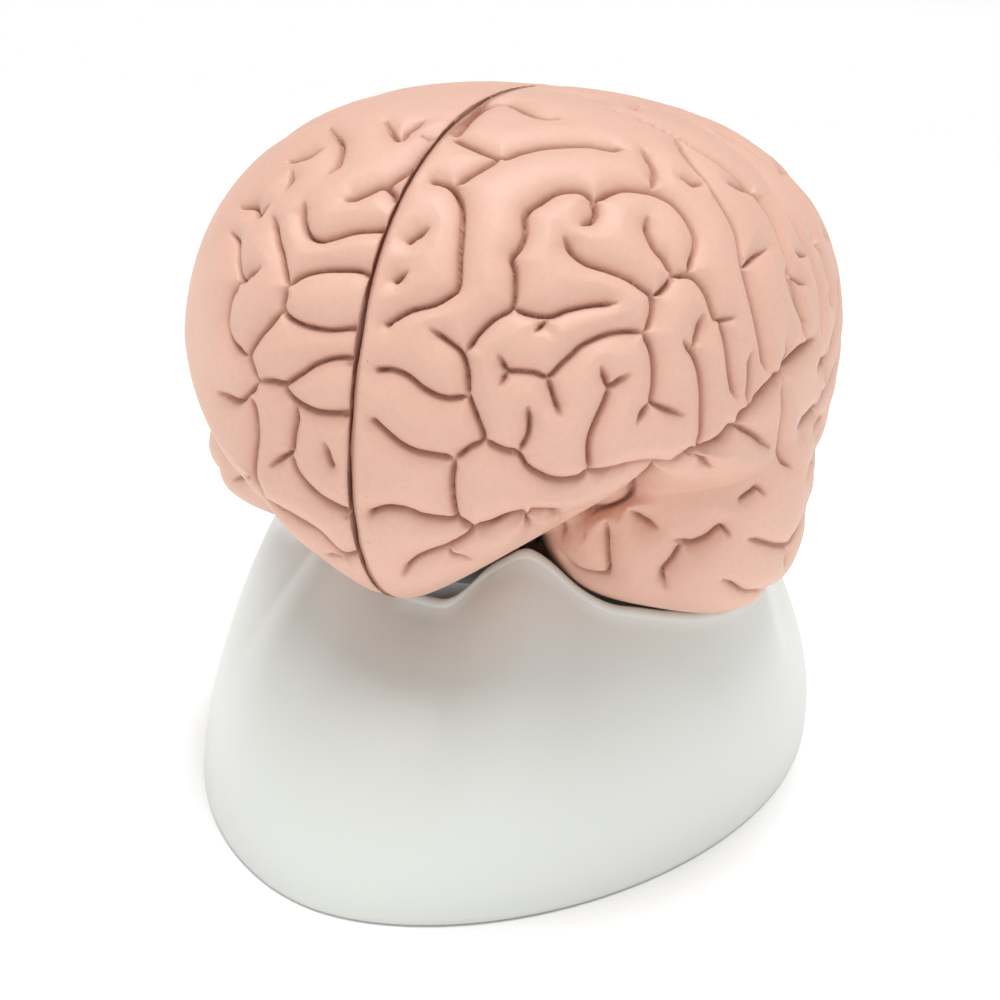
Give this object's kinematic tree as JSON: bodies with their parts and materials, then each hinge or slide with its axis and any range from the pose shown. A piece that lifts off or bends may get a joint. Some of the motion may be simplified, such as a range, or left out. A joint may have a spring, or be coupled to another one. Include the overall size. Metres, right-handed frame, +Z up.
{
  "type": "brain anatomy model",
  "caption": "life-size teaching model of a human brain in two halves, folded pink surface, resting in a smooth hollow off-white stand with a sculpted rim",
  "frame": {"origin": "middle of the bounding box at the level of the table", "axes": "+Z up; +Y from the brow to the back of the head, along the longest extent; +X to the brain's own left, along the shortest extent"},
  "size_m": [0.149, 0.1765, 0.156],
  "materials": {
    "stand": "satin",
    "flesh": "satin",
    "peg": "matte"
  },
  "bodies": {
    "root": {"base": "stand", "left_half": "flesh", "right_half": "flesh", "front_peg": "peg", "rear_peg": "peg"}
  },
  "joints": []
}
